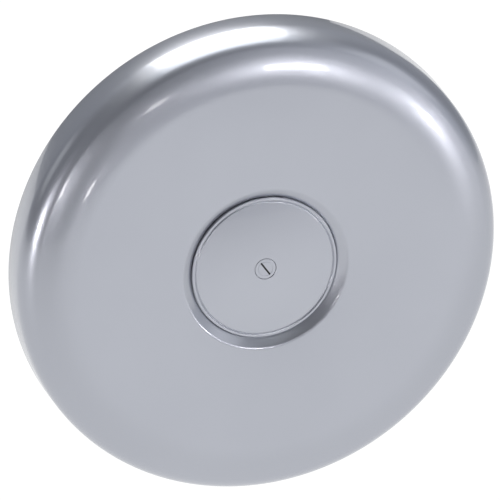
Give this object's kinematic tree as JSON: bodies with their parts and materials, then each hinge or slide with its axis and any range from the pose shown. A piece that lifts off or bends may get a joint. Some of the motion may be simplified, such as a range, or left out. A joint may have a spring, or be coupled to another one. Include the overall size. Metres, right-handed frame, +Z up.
{
  "type": "spare tire cover",
  "caption": "Round hard shell that hides a spare wheel: dished silver face, big rounded shoulder, removable centre cap with a coin-slot plug, and a steel bracket held by the wheel's studs.",
  "frame": {"origin": "centre of the bracket face that meets the wheel, on the wheel's axle line", "axes": "-Y is the front of the cover, +Y points into the wheel along its axle, +Z is up and +X is to the right seen from the front"},
  "size_m": [0.69, 0.0791, 0.69],
  "materials": {
    "silver_lacquer": "silver metallic base coat with fine flake under gloss clear coat, on moulded plastic",
    "black_plastic": "fine moulded grain",
    "black_steel": "black electro-coated pressed steel, satin",
    "zinc_steel": "bright zinc plate",
    "black_rubber": "matt moulded rubber",
    "foam": "closed-cell foam, matt"
  },
  "bodies": {
    "cover": {"outer_shell": "silver_lacquer", "support_ring": "black_plastic", "ring_screws": "zinc_steel", "tyre_pads": "foam", "tread_pads": "foam", "wheel_bracket": "black_steel", "spider_plate": "black_steel", "bracket_rivets": "zinc_steel", "keeper_plate": "zinc_steel", "keeper_rivets": "zinc_steel", "weld_nuts": "zinc_steel", "isolator_grommets": "black_rubber", "spacer_sleeves": "zinc_steel", "fixing_washers": "zinc_steel", "fixing_screws": "zinc_steel", "peg_grommets": "black_rubber"},
    "cap": {"centre_cap": "silver_lacquer", "cap_seal": "black_rubber", "plug_bush": "black_plastic", "bush_washer": "zinc_steel", "bush_nut": "zinc_steel"},
    "plug": {"turn_plug": "silver_lacquer", "plug_o_ring": "black_rubber", "wave_washer": "zinc_steel", "thrust_washer": "zinc_steel", "retaining_clip": "zinc_steel", "cross_bar": "zinc_steel", "bar_washer": "zinc_steel", "bar_screw": "zinc_steel"}
  },
  "joints": [
    {"name": "cap_lift", "type": "slide", "parent": "cover", "child": "cap", "axis": [0, -1, 0], "range_m": [0, 0.08]},
    {"name": "plug_turn", "type": "hinge", "parent": "cap", "child": "plug", "pos_m": [0, -0.05, 0], "axis": [0, 1, 0], "range_deg": [0, 90]}
  ]
}
